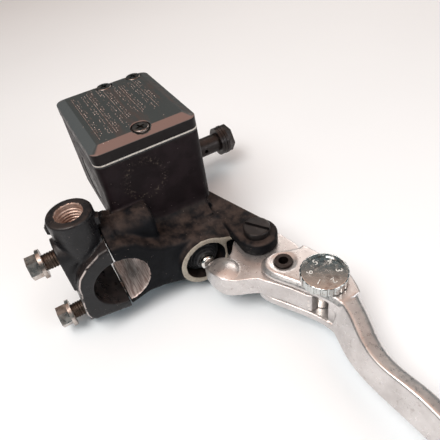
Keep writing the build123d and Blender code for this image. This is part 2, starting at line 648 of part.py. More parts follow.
PARTS = {
    "master_body": master_body,
    "handlebar_holder": handlebar_holder,
    "clamp_bolts": clamp_bolts,
    "reservoir_cap": reservoir_cap,
    "cap_screws": cap_screws,
    "diaphragm_plate": diaphragm_plate,
    "diaphragm": diaphragm,
    "sight_glass": sight_glass,
    "sight_glass_seal": sight_glass_seal,
    "port_guard": port_guard,
    "piston": piston,
    "push_pin": push_pin,
    "primary_cup": primary_cup,
    "secondary_cup": secondary_cup,
    "spring_seat": spring_seat,
    "return_spring": return_spring,
    "stop_washer": stop_washer,
    "circlip": circlip,
    "dust_boot": dust_boot,
    "banjo_bolt": banjo_bolt,
    "crush_washers": crush_washers,
    "pivot_bolt": pivot_bolt,
    "pivot_nut": pivot_nut,
    "pivot_bush": pivot_bush,
    "lever_bracket": lever_bracket,
    "lever_blade": lever_blade,
    "lever_pin": lever_pin,
    "pin_clip": lambda: e_clip(PIN, 2.7, 5.0),
    "reach_spring": reach_spring,
    "adjuster_dial": adjuster_dial,
    "adjuster_cam": adjuster_cam,
    "cam_clip": lambda: e_clip(DIAL, 2.2, 4.4),
    "detent_ball": detent_ball,
    "detent_spring": detent_spring,
}

os.makedirs("parts", exist_ok=True)
for name, make in PARTS.items():
    export_step(make(), f"parts/{name}.step")
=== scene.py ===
import json
import math
import random

import bmesh
import bpy
from mathutils import Matrix, Vector


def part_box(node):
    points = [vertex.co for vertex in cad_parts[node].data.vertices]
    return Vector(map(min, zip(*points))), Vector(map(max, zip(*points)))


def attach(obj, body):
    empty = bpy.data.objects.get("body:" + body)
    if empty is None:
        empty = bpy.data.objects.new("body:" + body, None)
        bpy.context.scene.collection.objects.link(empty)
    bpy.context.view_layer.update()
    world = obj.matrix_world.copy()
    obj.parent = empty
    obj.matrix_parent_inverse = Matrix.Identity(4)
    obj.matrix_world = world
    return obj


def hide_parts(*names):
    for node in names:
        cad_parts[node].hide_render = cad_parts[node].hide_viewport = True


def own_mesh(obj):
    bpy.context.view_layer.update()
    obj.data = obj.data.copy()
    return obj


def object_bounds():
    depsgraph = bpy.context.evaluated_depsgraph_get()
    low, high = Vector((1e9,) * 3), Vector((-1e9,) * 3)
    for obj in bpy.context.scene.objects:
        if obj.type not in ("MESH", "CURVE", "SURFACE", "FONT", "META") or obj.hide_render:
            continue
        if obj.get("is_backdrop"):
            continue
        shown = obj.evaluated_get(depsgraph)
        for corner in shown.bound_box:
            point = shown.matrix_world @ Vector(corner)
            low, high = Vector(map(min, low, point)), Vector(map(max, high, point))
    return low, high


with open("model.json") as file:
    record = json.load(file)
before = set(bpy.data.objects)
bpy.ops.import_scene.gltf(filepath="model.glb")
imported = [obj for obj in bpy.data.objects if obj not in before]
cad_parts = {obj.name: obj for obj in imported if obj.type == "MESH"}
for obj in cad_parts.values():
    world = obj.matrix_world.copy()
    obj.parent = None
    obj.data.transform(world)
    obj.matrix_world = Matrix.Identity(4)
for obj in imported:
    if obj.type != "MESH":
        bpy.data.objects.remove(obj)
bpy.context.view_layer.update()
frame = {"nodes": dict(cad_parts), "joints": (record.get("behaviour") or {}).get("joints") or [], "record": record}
nodes = frame["nodes"]
mounts = {m["name"]: m for m in frame["record"]["mounts"]}
joints = {j["name"]: j for j in frame["joints"]}

MM = 0.001

# ---- places taken from the frame ----
DIAL = Vector(joints["dial_turn"]["pos_m"])
MIRROR = Vector(mounts["mirror_thread"]["pos_m"])
MIRROR_R = mounts["mirror_thread"]["dims"]["r_mm"] * MM
BAR_R = mounts["handlebar_clamp"]["dims"]["r_mm"] * MM
PIN_LOW, PIN_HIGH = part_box("push_pin")
PIN_R = (PIN_HIGH.z - PIN_LOW.z) / 2
CYL = (PIN_LOW + PIN_HIGH) / 2
CAP_LOW, CAP_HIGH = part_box("reservoir_cap")

# ---- where the casting's paint changes ----
MOUTH_X = 15.0 * MM                   # machined face round the cylinder's mouth
HOLDER_EDGE_X = 10.0 * MM             # inboard of the holder's rounded outboard edge
WALL_X = CAP_HIGH.x + 0.4 * MM        # just outboard of the reservoir
FOOT_Y, FOOT_Z = 7.0 * MM, 4.0 * MM   # just behind and just under the reservoir
HOLE_Z = 18.0 * MM                    # just under the mirror's thread
STAIN = ((-3.0 * MM, 23.5 * MM, 29.5 * MM), 7.8 * MM, 2.2 * MM)   # centre, radius and width of a dusty ring

# ---- threads ----
MIRROR_PITCH, MIRROR_DEPTH = 1.25 * MM, 11.5 * MM
BOLT_PITCH, BOLT_LENGTH = 1.0 * MM, 7.5 * MM
BOLT_ROOT, BOLT_TIP = 2.99 * MM, 3.25 * MM
FLANGE_R, HEAD_H = 5.7 * MM, 5.6 * MM     # a clamp bolt's flanged head

# ---- raised marks ----
ROWS, FULL_ROWS = 9, 4              # the rows after the full ones are shorter, clear of the screws
FIRST_ROW, ROW_PITCH = 6.0, 3.3     # mm from the cap's rear side, and from row to row
MARK_H = 0.2 * MM
DIGIT_RING, DIGIT_SIZE = 5.0 * MM, 3.4 * MM


# ---------------------------------------------------------------- mesh helpers

def new_object(name, mesh, body, material=None):
    """Links a finished mesh as a piece that rides on a body."""
    obj = bpy.data.objects.new(name, mesh)
    bpy.context.scene.collection.objects.link(obj)
    if material is not None:
        mesh.materials.clear()
        mesh.materials.append(material)
    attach(obj, body)
    return obj


def smooth_shade(mesh):
    mesh.polygons.foreach_set("use_smooth", [True] * len(mesh.polygons))


def rounded_copy(name, node, voxel, passes, share):
    """A node's shape with a casting's rounded edges: an even mesh, smoothed, then thinned to a share."""
    source = nodes[node]
    work = bpy.data.objects.new("work", source.data.copy())
    bpy.context.scene.collection.objects.link(work)
    remesh = work.modifiers.new("remesh", "REMESH")
    remesh.mode = "VOXEL"
    remesh.voxel_size = voxel
    soften = work.modifiers.new("soften", "SMOOTH")
    soften.factor = 0.5
    soften.iterations = passes
    thin = work.modifiers.new("thin", "DECIMATE")
    thin.ratio = share
    graph = bpy.context.evaluated_depsgraph_get()
    mesh = bpy.data.meshes.new_from_object(work.evaluated_get(graph))
    mesh.name = name
    mesh.materials.clear()
    smooth_shade(mesh)
    bpy.data.objects.remove(work)
    return mesh


def grid_mesh(name, rings, closed_ends=False):
    """Mesh through rings of points, each ring closed on itself."""
    mesh = bpy.data.meshes.new(name)
    count = len(rings[0])
    points = [p for ring in rings for p in ring]
    faces = []
    for i in range(len(rings) - 1):
        for k in range(count):
            a, b = i * count + k, i * count + (k + 1) % count
            faces.append((a, b, b + count, a + count))
    if closed_ends:
        faces.append(tuple(range(count))[::-1])
        faces.append(tuple((len(rings) - 1) * count + k for k in range(count)))
    mesh.from_pydata([tuple(p) for p in points], [], faces)
    smooth_shade(mesh)
    mesh.update()
    return mesh


class Axis:
    """A line through a point, for shapes that are turned about it."""

    def __init__(self, start, direction):
        self.start = start
        self.forward = Vector(direction).normalized()
        self.side = self.forward.orthogonal().normalized()
        self.other = self.forward.cross(self.side)

    def point(self, along, radius, turn):
        """Point at a distance along the line and from it, after a share of a full turn."""
        angle = 2 * math.pi * turn
        out = self.side * math.cos(angle) + self.other * math.sin(angle)
        return self.start + self.forward * along + out * radius


def lathe(name, profile, axis, segments):
    """Closed ring turned from (along, radius) pairs about an axis."""
    rings = []
    for along, radius in profile + profile[:1]:
        rings.append([axis.point(along, radius, k / segments) for k in range(segments)])
    mesh = grid_mesh(name, rings)
    merge(mesh)
    return mesh


def merge(mesh, distance=1e-6):
    work = bmesh.new()
    work.from_mesh(mesh)
    bmesh.ops.remove_doubles(work, verts=work.verts, dist=distance)
    bmesh.ops.recalc_face_normals(work, faces=work.faces)
    work.to_mesh(mesh)
    work.free()


def thread(name, axis, length, root, tip, pitch, segments=48, closed_ends=True):
    """Screw thread: a ridge that climbs round the shank and fades towards both ends."""
    steps_per_pitch = 8
    count = int(length / pitch * steps_per_pitch)
    rings = []
    for i in range(count + 1):
        along = length * i / count
        fade = min(1.0, 4 * along / length, 4 * (length - along) / length + 0.2)
        ring = []
        for k in range(segments):
            turn = k / segments
            phase = (along / pitch - turn) % 1.0
            height = min(1.0, 1.25 * (1 - abs(2 * phase - 1)))
            ring.append(axis.point(along, root + (tip - root) * height * fade, turn))
        rings.append(ring)
    return grid_mesh(name, rings, closed_ends)


def bar_prism(work, centre, size, height, rounding):
    """A raised dash with rounded ends and a domed top, added to a bmesh."""
    length, width = size
    around = 16
    rings = []
    for inset, level in ((0.0, 0.0), (0.0, 0.6), (rounding, 1.0)):
        ring = []
        half_l, half_w = length / 2 - inset, width / 2 - inset
        for k in range(around):
            angle = 2 * math.pi * (k + 0.5) / around
            x = math.copysign(max(half_l - half_w, 0.0), math.cos(angle)) + half_w * math.cos(angle)
            y = half_w * math.sin(angle)
            ring.append(work.verts.new((centre[0] + x, centre[1] + y, centre[2] + height * level)))
        rings.append(ring)
    for low, high in zip(rings, rings[1:]):
        for k in range(around):
            after = (k + 1) % around
            work.faces.new((low[k], low[after], high[after], high[k]))
    work.faces.new(rings[-1])
    work.faces.new(rings[0][::-1])


# ---------------------------------------------------------------- materials

class Shader:
    """Small helper round one Principled material and its nodes."""

    def __init__(self, name, rough=0.5, metal=0.0):
        self.mat = bpy.data.materials.new(name)
        self.mat.use_nodes = True
        self.tree = self.mat.node_tree
        self.bsdf = self.tree.nodes["Principled BSDF"]
        self.put("Metallic", metal)
        self.put("Roughness", rough)
        self.place = self.add("ShaderNodeTexCoord").outputs["Object"]
        self.tone = None

    def put(self, socket, value):
        """One value over the whole surface."""
        self.bsdf.inputs[socket].default_value = value

    def add(self, kind, **values):
        node = self.tree.nodes.new(kind)
        for key, value in values.items():
            setattr(node, key, value)
        return node

    def link(self, source, target):
        self.tree.links.new(source, target)

    def noise(self, per_mm, detail=3.0, rough=0.6, stretch=None, turn=(0, 0, 0)):
        """Noise with about per_mm blobs in a millimetre."""
        node = self.add("ShaderNodeTexNoise")
        node.inputs["Scale"].default_value = per_mm / MM
        node.inputs["Detail"].default_value = detail
        node.inputs["Roughness"].default_value = rough
        place = self.place
        if stretch is not None:
            mapping = self.add("ShaderNodeMapping")
            mapping.inputs["Scale"].default_value = stretch
            mapping.inputs["Rotation"].default_value = turn
            self.link(self.place, mapping.inputs["Vector"])
            place = mapping.outputs["Vector"]
        self.link(place, node.inputs["Vector"])
        return node.outputs["Fac"]

    def specks(self, per_mm, size):
        """Sparse round specks: 1 inside a speck, 0 outside."""
        node = self.add("ShaderNodeTexVoronoi")
        node.inputs["Scale"].default_value = per_mm / MM
        self.link(self.place, node.inputs["Vector"])
        near = self.ramp(node.outputs["Distance"], size * 1.3, size * 0.7)
        rare = self.ramp(self.noise(per_mm * 0.43, 0.0), 0.60, 0.64)
        return self.math("MULTIPLY", near, rare)

    def ramp(self, source, low, high):
        """0 at low and 1 at high, smoothly; low may be above high."""
        node = self.add("ShaderNodeMapRange", interpolation_type="SMOOTHSTEP")
        node.inputs["From Min"].default_value = min(low, high)
        node.inputs["From Max"].default_value = max(low, high)
        node.inputs["To Min"].default_value = 0.0 if low < high else 1.0
        node.inputs["To Max"].default_value = 1.0 if low < high else 0.0
        self.link(source, node.inputs["Value"])
        return node.outputs["Result"]

    def math(self, operation, a, b=0.0):
        node = self.add("ShaderNodeMath", operation=operation)
        for socket, value in zip(node.inputs, (a, b)):
            if isinstance(value, (int, float)):
                socket.default_value = value
            else:
                self.link(value, socket)
        return node.outputs["Value"]

    def both(self, *masks):
        """Product of masks and strengths: 1 only where all of them are 1."""
        product = masks[0]
        for mask in masks[1:]:
            product = self.math("MULTIPLY", product, mask)
        return product

    def mix(self, factor, a, b):
        """Colour mix; a and b are colours or sockets."""
        node = self.add("ShaderNodeMix", data_type="RGBA")
        self.link(factor, node.inputs["Factor"])
        for name, value in (("A", a), ("B", b)):
            socket = [s for s in node.inputs if s.name == name and s.type == "RGBA"][0]
            if isinstance(value, tuple):
                socket.default_value = (*value, 1)
            else:
                self.link(value, socket)
        return [s for s in node.outputs if s.type == "RGBA"][0]

    def level(self, factor, a, b):
        """Number mix between a and b."""
        node = self.add("ShaderNodeMapRange")
        node.inputs["To Min"].default_value = a
        node.inputs["To Max"].default_value = b
        self.link(factor, node.inputs["Value"])
        return node.outputs["Result"]

    def edges(self, low, high):
        """1 along worn convex edges."""
        geometry = self.add("ShaderNodeNewGeometry")
        return self.ramp(geometry.outputs["Pointiness"], low, high)

    def facing(self, axis, low, high):
        """1 where the surface faces along an axis."""
        geometry = self.add("ShaderNodeNewGeometry")
        split = self.add("ShaderNodeSeparateXYZ")
        self.link(geometry.outputs["Normal"], split.inputs[0])
        return self.ramp(split.outputs[axis], low, high)

    def along(self, axis, low, high):
        """0 at low and 1 at high along an axis of the part's own frame."""
        split = self.add("ShaderNodeSeparateXYZ")
        self.link(self.place, split.inputs[0])
        return self.ramp(split.outputs[axis], low, high)

    def ring(self, centre, radius, width):
        """1 on a ring about a centre, measured in the YZ plane."""
        offset = self.add("ShaderNodeVectorMath", operation="SUBTRACT")
        offset.inputs[1].default_value = centre
        self.link(self.place, offset.inputs[0])
        flat = self.add("ShaderNodeVectorMath", operation="MULTIPLY")
        flat.inputs[1].default_value = (0, 1, 1)
        self.link(offset.outputs[0], flat.inputs[0])
        size = self.add("ShaderNodeVectorMath", operation="LENGTH")
        self.link(flat.outputs[0], size.inputs[0])
        away = self.math("ABSOLUTE", self.math("SUBTRACT", size.outputs["Value"], radius))
        return self.ramp(away, width, 0.0)

    def colour(self, socket):
        self.tone = socket
        self.link(socket, self.bsdf.inputs["Base Color"])

    def rough(self, socket):
        self.link(socket, self.bsdf.inputs["Roughness"])

    def metal(self, socket):
        self.link(socket, self.bsdf.inputs["Metallic"])

    def bump(self, *layers):
        """Layers are (height socket, height in mm)."""
        normal = None
        for height, depth in layers:
            node = self.add("ShaderNodeBump")
            node.inputs["Strength"].default_value = 1.0
            node.inputs["Distance"].default_value = depth * MM
            self.link(height, node.inputs["Height"])
            if normal is not None:
                self.link(normal, node.inputs["Normal"])
            normal = node.outputs["Normal"]
        self.link(normal, self.bsdf.inputs["Normal"])


RUBBED = (0.16, 0.13, 0.12)     # black paint rubbed thin
DUST = (0.14, 0.11, 0.085)
CHIP = (0.25, 0.20, 0.18)


def satin(name, rough, gloss):
    """Satin paint: uneven roughness over the texture of a casting."""
    s = Shader(name)
    s.put("Specular IOR Level", gloss)
    s.rough(s.level(s.ramp(s.noise(0.3, 4.0), 0.3, 0.7), rough - 0.06, rough + 0.14))
    s.bump((s.noise(1.4, 3.0), 0.03), (s.noise(0.25, 2.0), 0.08))
    return s


def painted(name, dark, lit, rough, dust_and_light, gloss, wear=None, stain=None):
    """Black paint: mottled, with dust and painted top light on top, perhaps rubbed thin along its edges or stained
    in a ring.
    """
    s = satin(name, rough, gloss)
    base = s.mix(s.ramp(s.noise(0.12, 4.0), 0.4, 0.65), dark, tuple(c * 1.6 for c in dark))
    # dust mixed with painted top light: the lit colour laid on upward faces
    dust_and_top_light = s.both(s.facing("Z", 0.1, 0.9), s.ramp(s.noise(0.2, 5.0), 0.3, 0.7))
    base = s.mix(s.both(dust_and_top_light, dust_and_light), base, lit)
    if wear is not None:
        worn = s.both(s.edges(*wear), s.ramp(s.noise(0.5, 4.0), 0.46, 0.62))
        base = s.mix(worn, base, RUBBED)
    if stain is not None:
        dusty = s.both(s.ring(*stain), s.ramp(s.noise(0.9, 5.0), 0.50, 0.72))
        base = s.mix(s.both(dusty, 0.6), base, DUST)
    s.colour(s.mix(s.both(s.specks(0.8, 0.10), 0.7), base, CHIP))
    return s


def casting_paint():
    """Black paint, left off the machined face round the cylinder's mouth."""
    s = painted("cast_black", (0.0050, 0.0054, 0.0066), (0.085, 0.060, 0.050), 0.46, dust_and_light=0.6, gloss=0.07,
                wear=(0.55, 0.62))
    past_low = s.along("X", MOUTH_X - 0.7 * MM, MOUTH_X - 0.4 * MM)
    short_of_high = s.along("X", MOUTH_X + 0.9 * MM, MOUTH_X + 0.6 * MM)
    bare = s.both(past_low, short_of_high, s.facing("X", 0.55, 0.70))
    faced = s.mix(s.ramp(s.noise(1.2, 4.0), 0.3, 0.7), (0.33, 0.29, 0.24), (0.46, 0.41, 0.34))
    s.colour(s.mix(bare, s.tone, faced))
    s.metal(s.both(bare, 0.35))
    return s.mat


def reservoir_paint():
    """Browner black paint, with a dusty ring on the outboard wall."""
    return painted("reservoir_black", (0.0095, 0.0062, 0.0072), (0.060, 0.045, 0.040), 0.44, dust_and_light=0.5,
                   gloss=0.09, stain=STAIN).mat


def holder_paint():
    """Glossier paint with a pale band along the rear of the holder's outboard edge: paint rubbed through in
    patches, and a painted highlight along the fillet.
    """
    s = painted("holder_black", (0.006, 0.006, 0.007), (0.060, 0.045, 0.040), 0.30, dust_and_light=0.5, gloss=0.3)
    # pale band on the fillet facing outboard and to the rear: partly rubbed paint, partly a painted highlight
    edge = s.both(s.facing("X", 0.45, 0.60), s.along("X", HOLDER_EDGE_X - 0.6 * MM, HOLDER_EDGE_X))
    edge = s.both(edge, s.facing("X", 0.93, 0.80), s.facing("Y", -0.2, -0.5))
    rubbed = s.both(edge, s.ramp(s.noise(0.3, 3.0), 0.40, 0.52))
    s.colour(s.mix(rubbed, s.tone, (0.50, 0.44, 0.42)))
    return s.mat


def cap_paint():
    """Dull black paint of the cap, with painted light: a lighter grey-green top over near-black sides, a greyer
    painted reflection on the border's rear slope and a browner one on the outboard slope.
    """
    s = satin("cap_black", 0.36, gloss=0.15)
    rows = s.ramp(s.noise(0.16, 4.0, stretch=(0.25, 1.6, 1.0)), 0.50, 0.72)
    panel = s.mix(rows, (0.046, 0.052, 0.052), (0.070, 0.053, 0.048))
    # painted top light: the panel's colours on upward faces, near black on the sides
    base = s.mix(s.facing("Z", 0.15, 0.40), (0.010, 0.0075, 0.0078), panel)
    # painted reflection of the grey band on the rear slope
    rear = s.both(s.facing("Y", -0.25, -0.35), s.facing("Z", 0.3, 0.5))
    base = s.mix(rear, base, (0.075, 0.085, 0.088))
    # painted reflection of the warm ceiling on the outboard slope
    outboard = s.both(s.facing("X", 0.25, 0.35), s.facing("Z", 0.3, 0.5))
    base = s.mix(outboard, base, (0.18, 0.115, 0.10))
    s.colour(s.mix(s.both(s.specks(0.5, 0.09), 0.9), base, (0.50, 0.42, 0.38)))
    return s.mat


def emboss_metal():
    """Raised marks rubbed to a dull pinkish shine."""
    s = Shader("cap_emboss_worn")
    worn = s.ramp(s.noise(1.3, 5.0), 0.46, 0.58)
    s.colour(s.mix(worn, (0.085, 0.058, 0.050), (0.66, 0.52, 0.47)))
    s.metal(s.both(worn, 0.7))
    s.rough(s.level(worn, 0.5, 0.3))
    s.bump((s.noise(2.0, 3.0), 0.03))
    return s.mat


def machined_bore():
    """Machined clamp bore with slanted drag marks."""
    s = Shader("machined_bore", metal=0.55)
    streaks = s.noise(0.5, 5.0, stretch=(0.35, 3.0, 3.0), turn=(0.0, 0.3, 0.5))
    s.colour(s.mix(s.ramp(streaks, 0.38, 0.60), (0.40, 0.29, 0.26), (0.78, 0.68, 0.64)))
    s.rough(s.level(s.ramp(streaks, 0.3, 0.7), 0.32, 0.5))
    s.bump((streaks, 0.03), (s.noise(3.0, 2.0), 0.01))
    return s.mat


def lever_silver():
    """Satin cast aluminium with faint grey smudges, dark pits and a painted highlight along its edges."""
    s = Shader("lever_silver", metal=0.85)
    base = s.mix(s.ramp(s.noise(0.09, 5.0), 0.3, 0.72), (0.56, 0.53, 0.52), (0.72, 0.69, 0.68))
    smudge = s.ramp(s.noise(0.45, 5.0), 0.60, 0.72)
    base = s.mix(s.both(smudge, 0.45), base, (0.30, 0.25, 0.23))
    base = s.mix(s.both(s.specks(1.1, 0.12), 0.6), base, (0.12, 0.10, 0.10))
    # painted highlight: pale colour along convex edges and crests
    s.colour(s.mix(s.both(s.edges(0.52, 0.57), 0.6), base, (0.92, 0.86, 0.82)))
    s.rough(s.level(s.ramp(s.noise(0.8, 4.0), 0.3, 0.7), 0.26, 0.40))
    s.bump((s.noise(3.2, 2.0), 0.008), (s.noise(0.35, 3.0), 0.03))
    return s.mat


def metal(name, colour, rough, grain=2.0, tint=None, shine=1.0):
    """Bare or plated metal with grain, uneven roughness and patches of a tint or a darker tone."""
    s = Shader(name, metal=shine)
    patches = tint or tuple(c * 0.72 for c in colour)
    s.colour(s.mix(s.ramp(s.noise(0.25, 5.0), 0.3, 0.7), patches, colour))
    s.rough(s.level(s.ramp(s.noise(grain * 0.4, 4.0), 0.25, 0.75), rough - 0.1, rough + 0.1))
    s.bump((s.noise(grain, 3.0), 0.02))
    return s.mat


def dark_steel(name, dark, lit):
    """Black oxide on steel, browner on top from dust and painted top light."""
    s = painted(name, dark, lit, 0.34, dust_and_light=0.4, gloss=0.4)
    s.put("Metallic", 0.4)
    return s.mat


def rubber():
    s = Shader("rubber")
    s.put("Specular IOR Level", 0.4)
    s.colour(s.mix(s.ramp(s.noise(0.6, 4.0), 0.35, 0.7), (0.010, 0.010, 0.012), (0.035, 0.034, 0.035)))
    s.rough(s.level(s.noise(0.8, 3.0), 0.42, 0.65))
    s.bump((s.noise(2.5, 2.0), 0.02))
    return s.mat


def dial_chrome():
    """Stained chrome that mirrors its surroundings."""
    s = Shader("dial_chrome", metal=1.0)
    stain = s.ramp(s.noise(0.35, 5.0), 0.52, 0.68)
    s.colour(s.mix(s.both(stain, 0.5), (0.60, 0.62, 0.61), (0.28, 0.20, 0.18)))
    s.rough(s.level(s.ramp(s.noise(0.5, 5.0), 0.4, 0.75), 0.08, 0.20))
    s.bump((s.noise(0.8, 3.0), 0.006))
    return s.mat


def glass():
    """Smoked sight glass with a dirty film."""
    s = Shader("glass")
    s.put("Base Color", (0.03, 0.028, 0.028, 1))
    s.put("Specular IOR Level", 0.2)
    s.put("Transmission Weight", 0.2)
    s.rough(s.level(s.ramp(s.noise(0.4, 4.0), 0.4, 0.7), 0.35, 0.6))
    return s.mat


def patchy(name, rough, blobs, limits, main, patches):
    """Dull surface in one colour with soft patches of another; blobs are per mm, with their detail."""
    s = Shader(name, rough)
    s.colour(s.mix(s.ramp(s.noise(*blobs), *limits), main, patches))
    return s.mat


CAST = casting_paint()
RESERVOIR = reservoir_paint()
HOLDER = holder_paint()
CAP = cap_paint()
EMBOSS = emboss_metal()
BORE = machined_bore()
LEVER = lever_silver()
ZINC = metal("zinc", (0.62, 0.57, 0.53), 0.32, grain=1.4, tint=(0.26, 0.21, 0.185))
BOLT_THREAD = metal("bolt_thread", (0.11, 0.085, 0.07), 0.5, grain=3.0, tint=(0.05, 0.028, 0.02))
HOLE_THREAD = metal("hole_thread", (0.60, 0.45, 0.38), 0.4, grain=1.2, tint=(0.34, 0.20, 0.15), shine=0.5)
DULL_SCREW = metal("dull_screw", (0.30, 0.255, 0.235), 0.30, grain=1.2, tint=(0.12, 0.095, 0.085))
BRIGHT = metal("bright_steel", (0.78, 0.76, 0.73), 0.2)
MACHINED = metal("machined", (0.72, 0.66, 0.62), 0.3)
BRONZE = metal("bronze", (0.60, 0.40, 0.20), 0.35)
BLACK_STEEL = dark_steel("black_steel", (0.014, 0.010, 0.009), (0.060, 0.040, 0.033))
PIVOT_BLACK = dark_steel("pivot_black", (0.012, 0.010, 0.010), (0.05, 0.04, 0.036))
RUBBER = rubber()
DIAL_CHROME = dial_chrome()
GLASS = glass()
PALE = patchy("pale_plate", 0.5, (0.8, 4.0), (0.5, 0.75), (0.70, 0.64, 0.58), (0.20, 0.16, 0.14))
DIGIT = patchy("digit_pale", 0.4, (1.5, 4.0), (0.45, 0.65), (0.74, 0.75, 0.72), (0.32, 0.30, 0.28))
FLOOR = patchy("floor_pale", 0.8, (0.005, 3.0), (0.2, 0.8), (0.88, 0.94, 0.98), (0.90, 0.96, 1.0))

SLOT_MATERIALS = {
    "cast_black": CAST, "cap_black": CAP, "machined": MACHINED, "lever_silver": LEVER, "zinc": ZINC,
    "black_steel": BLACK_STEEL, "bright_steel": BRIGHT, "dial_chrome": DIAL_CHROME, "rubber": RUBBER,
    "pale_plate": PALE, "glass": GLASS, "bronze": BRONZE,
}
for part in frame["record"]["subparts"]:
    data = nodes[part["node"]].data
    data.materials.clear()
    data.materials.append(SLOT_MATERIALS[part["material_slot"]])
nodes["pivot_bolt"].data.materials[0] = PIVOT_BLACK
nodes["cap_screws"].data.materials[0] = DULL_SCREW


# ---------------------------------------------------------------- castings

def recast(name, node, body, material, voxel, passes, share, regions=()):
    """Shows a node's rounded copy in its place.  Each region is a material and a test of a face's
    centre and normal, and the last test that holds decides."""
    mesh = rounded_copy(name, node, voxel, passes, share)
    mesh.materials.append(material)
    for index, (other, test) in enumerate(regions, 1):
        mesh.materials.append(other)
        for face in mesh.polygons:
            if test(face.center, face.normal):
                face.material_index = index
    piece = new_object(name, mesh, body)
    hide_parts(node)


def in_bar_bore(centre, normal):
    radius = math.hypot(centre.y, centre.z)
    inward = normal.y * centre.y + normal.z * centre.z < -0.8 * radius
    return radius < BAR_R + 0.25 * MM and inward


def on_reservoir(centre, normal):
    return centre.x < WALL_X and centre.y > FOOT_Y and centre.z > FOOT_Z


def casting():
    regions = [(RESERVOIR, on_reservoir), (BORE, in_bar_bore)]
    recast("casting", "master_body", "root", CAST, 0.5 * MM, 5, 0.5, regions)


def in_mirror_hole(centre, normal):
    radius = math.hypot(centre.x - MIRROR.x, centre.y - MIRROR.y)
    return centre.z > HOLE_Z and radius < MIRROR_R + 0.3 * MM


def holder():
    regions = [(HOLE_THREAD, in_mirror_hole)]
    recast("clamp_holder", "handlebar_holder", "root", HOLDER, 0.38 * MM, 4, 0.6, regions)


def mirror_thread():
    """Thread inside the mirror's hole: an open sleeve that faces inward."""
    top = Vector((MIRROR.x, MIRROR.y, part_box("handlebar_holder")[1].z - 0.6 * MM))
    sleeve = thread("mirror_hole_thread", Axis(top, (0, 0, -1)), MIRROR_DEPTH, MIRROR_R + 0.15 * MM,
                    MIRROR_R - 0.55 * MM, MIRROR_PITCH, segments=64, closed_ends=False)
    sleeve.flip_normals()
    new_object("mirror_hole_thread", sleeve, "root", HOLE_THREAD)


def clamp_bolt_threads():
    """Threads of the two clamp bolts, bare between their heads and the holder."""
    low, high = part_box("clamp_bolts")
    centre_x = (low.x + high.x) / 2
    under_head = low.y + HEAD_H + 0.1 * MM
    for label, z in (("upper", high.z - FLANGE_R), ("lower", low.z + FLANGE_R)):
        name = "clamp_bolt_thread_" + label
        axis = Axis(Vector((centre_x, under_head, z)), (0, 1, 0))
        mesh = thread(name, axis, BOLT_LENGTH, BOLT_ROOT, BOLT_TIP, BOLT_PITCH)
        new_object(name, mesh, "root", BOLT_THREAD)


# ---------------------------------------------------------------- reservoir cap

def cap():
    recast("cap_shell", "reservoir_cap", "root", CAP, 0.3 * MM, 3, 0.5)


def cap_emboss():
    """Generic raised rows of dashes and rules on the cap's panel."""
    draw = random.Random(7)
    work = bmesh.new()
    left, right = CAP_LOW.x + 7.0 * MM, CAP_HIGH.x - 6.5 * MM
    panel = CAP_HIGH.z - 0.10 * MM
    for row in range(ROWS):
        y = CAP_LOW.y + (FIRST_ROW + row * ROW_PITCH) * MM
        start, end = (left, right) if row < FULL_ROWS else (left + 2.6 * MM, right - 7.5 * MM)
        if row % 2 == 0:
            bar_prism(work, ((start + end) / 2, y, panel), (end - start, 0.3 * MM), MARK_H, 0.06 * MM)
        for line in (0.95, 1.95):
            x = start + draw.uniform(0.2, 1.5) * MM
            while x < end - 1.2 * MM:
                length = draw.uniform(0.35, 1.3) * MM
                if draw.random() < 0.72:
                    centre = (x + length / 2, y + (line + draw.uniform(-0.15, 0.15)) * MM, panel)
                    bar_prism(work, centre, (length, draw.uniform(0.28, 0.5) * MM), MARK_H, 0.07 * MM)
                x += length + draw.uniform(0.3, 0.9) * MM
    mesh = bpy.data.meshes.new("cap_emboss")
    work.to_mesh(mesh)
    work.free()
    new_object("cap_emboss", mesh, "root", EMBOSS)


# ---------------------------------------------------------------- cylinder mouth

def boot():
    """Bellows boot: an outer flange, folds that step in, and a lip on the push pin."""
    low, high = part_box("dust_boot")
    outer = (high.z - low.z) / 2
    inner = outer - 2.2 * MM
    lip = PIN_R + 0.05 * MM
    length = high.x - low.x
    folds, steps = 4, 48
    profile = [(0.0, outer)]
    for step in range(steps + 1):
        share = step / steps
        radius = outer - 0.6 * MM - (outer - lip - 1.5 * MM) * share
        wave = 0.45 * MM * math.sin(2 * math.pi * folds * share)
        profile.append((length * (0.35 + 0.55 * share) + wave, radius))
    profile += [(length, lip + 0.9 * MM), (length, lip), (length * 0.75, lip)]
    profile += [(0.6 * MM, inner), (0.0, inner)]
    mesh = lathe("boot", profile, Axis(Vector((low.x, CYL.y, CYL.z)), (1, 0, 0)), 96)
    piece = new_object("boot", mesh, "root", RUBBER)
    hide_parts("dust_boot")
    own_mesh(piece)


def coil():
    """Return spring as a wire helix."""
    low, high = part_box("return_spring")
    wire = 0.6 * MM
    radius = (high.z - low.z) / 2 - wire
    turns, steps, around = 8, 40, 10
    rings = []
    for i in range(turns * steps + 1):
        angle = 2 * math.pi * i / steps
        along = low.x + wire + (high.x - low.x - 2 * wire) * i / (turns * steps)
        out = Vector((0, math.cos(angle), math.sin(angle)))
        centre = Vector((along, CYL.y, CYL.z)) + out * radius
        ring = []
        for k in range(around):
            tilt = 2 * math.pi * k / around
            ring.append(centre + (out * math.cos(tilt) + Vector((1, 0, 0)) * math.sin(tilt)) * wire)
        rings.append(ring)
    mesh = grid_mesh("spring_coil", rings, closed_ends=True)
    piece = new_object("spring_coil", mesh, "root", BRIGHT)
    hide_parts("return_spring")
    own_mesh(piece)


# ---------------------------------------------------------------- lever

def lever():
    recast("blade_casting", "lever_blade", "blade", LEVER, 0.36 * MM, 8, 0.6)
    recast("bracket_casting", "lever_bracket", "bracket", LEVER, 0.25 * MM, 4, 0.5)


